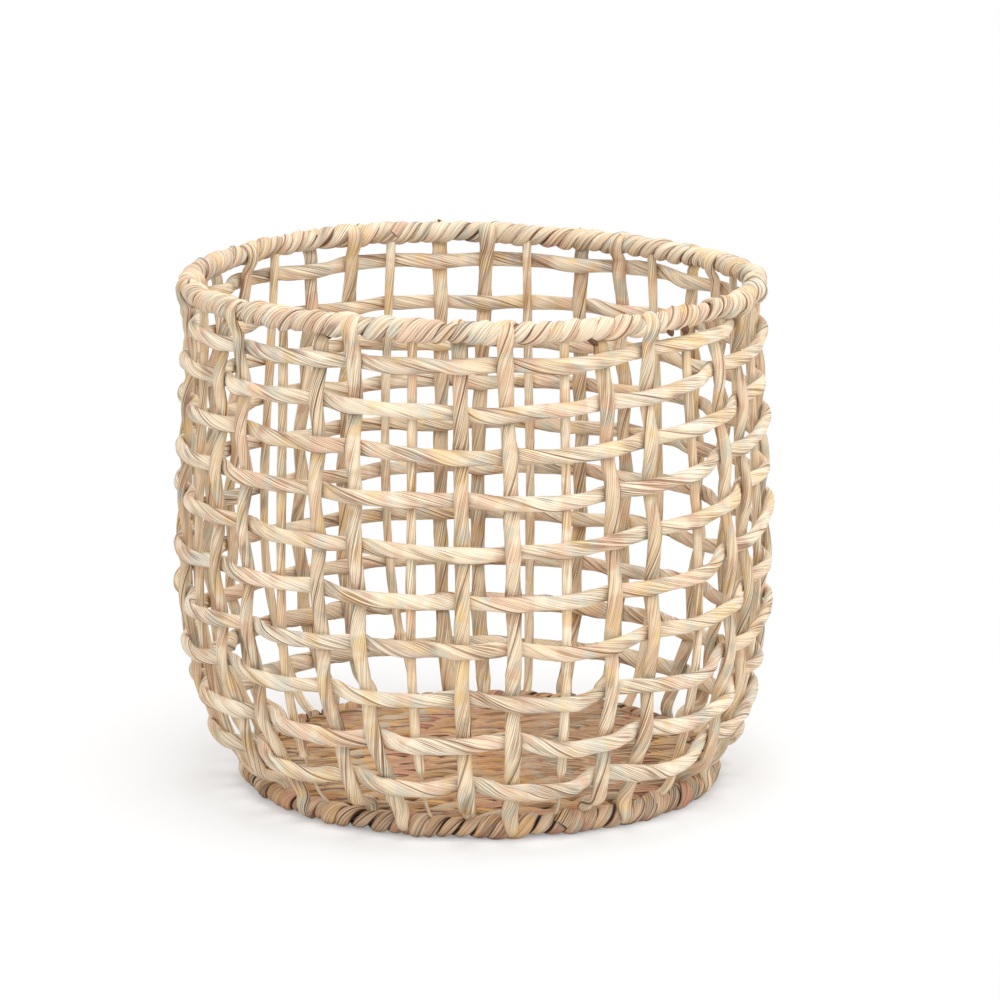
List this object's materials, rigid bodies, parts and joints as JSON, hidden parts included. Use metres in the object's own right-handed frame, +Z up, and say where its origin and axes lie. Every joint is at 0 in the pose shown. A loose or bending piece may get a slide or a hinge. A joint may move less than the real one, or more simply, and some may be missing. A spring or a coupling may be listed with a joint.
{
  "type": "woven planter basket",
  "caption": "Round open basket of twisted rush stakes and weavers on thin uprights, with a bound rim, a twisted foot border and a twined base, to hold a potted plant.",
  "frame": {"origin": "on the floor, under the centre of the basket", "axes": "+Z up along the basket's axis, -Y towards the front of the picture"},
  "size_m": [0.35, 0.3499, 0.2997],
  "materials": {
    "stake_rush": "matt twisted rush, straw beige with grey and pink fibres",
    "weaver_rush": "matt twisted rush, pale cream",
    "upright_rush": "smooth straw strip, light yellow",
    "rim_rush": "matt twisted rush, cream",
    "foot_rush": "matt twisted rush, brown beige",
    "base_rush": "matt twisted rush, pinkish beige",
    "frame_wire": "plain round wire, covered by the rush"
  },
  "bodies": {
    "root": {"rim_hoop": "frame_wire", "rim_binding": "rim_rush", "weaver_01": "weaver_rush", "weaver_02": "weaver_rush", "weaver_03": "weaver_rush", "weaver_04": "weaver_rush", "weaver_05": "weaver_rush", "weaver_06": "weaver_rush", "weaver_07": "weaver_rush", "weaver_08": "weaver_rush", "weaver_09": "weaver_rush", "weaver_10": "weaver_rush", "upright_01": "upright_rush", "upright_02": "upright_rush", "upright_03": "upright_rush", "upright_04": "upright_rush", "upright_05": "upright_rush", "upright_06": "upright_rush", "upright_07": "upright_rush", "upright_08": "upright_rush", "upright_09": "upright_rush", "upright_10": "upright_rush", "upright_11": "upright_rush", "upright_12": "upright_rush", "first_stake_01": "stake_rush", "first_stake_02": "stake_rush", "first_stake_03": "stake_rush", "first_stake_04": "stake_rush", "first_stake_05": "stake_rush", "first_stake_06": "stake_rush", "first_stake_07": "stake_rush", "first_stake_08": "stake_rush", "first_stake_09": "stake_rush", "first_stake_10": "stake_rush", "first_stake_11": "stake_rush", "first_stake_12": "stake_rush", "second_stake_01": "stake_rush", "second_stake_02": "stake_rush", "second_stake_03": "stake_rush", "second_stake_04": "stake_rush", "second_stake_05": "stake_rush", "second_stake_06": "stake_rush", "second_stake_07": "stake_rush", "second_stake_08": "stake_rush", "second_stake_09": "stake_rush", "second_stake_10": "stake_rush", "second_stake_11": "stake_rush", "second_stake_12": "stake_rush", "foot_hoop": "frame_wire", "foot_strand_01": "foot_rush", "foot_strand_02": "foot_rush", "lower_spoke_01": "base_rush", "upper_spoke_01": "base_rush", "lower_spoke_02": "base_rush", "upper_spoke_02": "base_rush", "lower_spoke_03": "base_rush", "upper_spoke_03": "base_rush", "base_twine_01": "base_rush", "base_twine_02": "base_rush"}
  },
  "joints": []
}
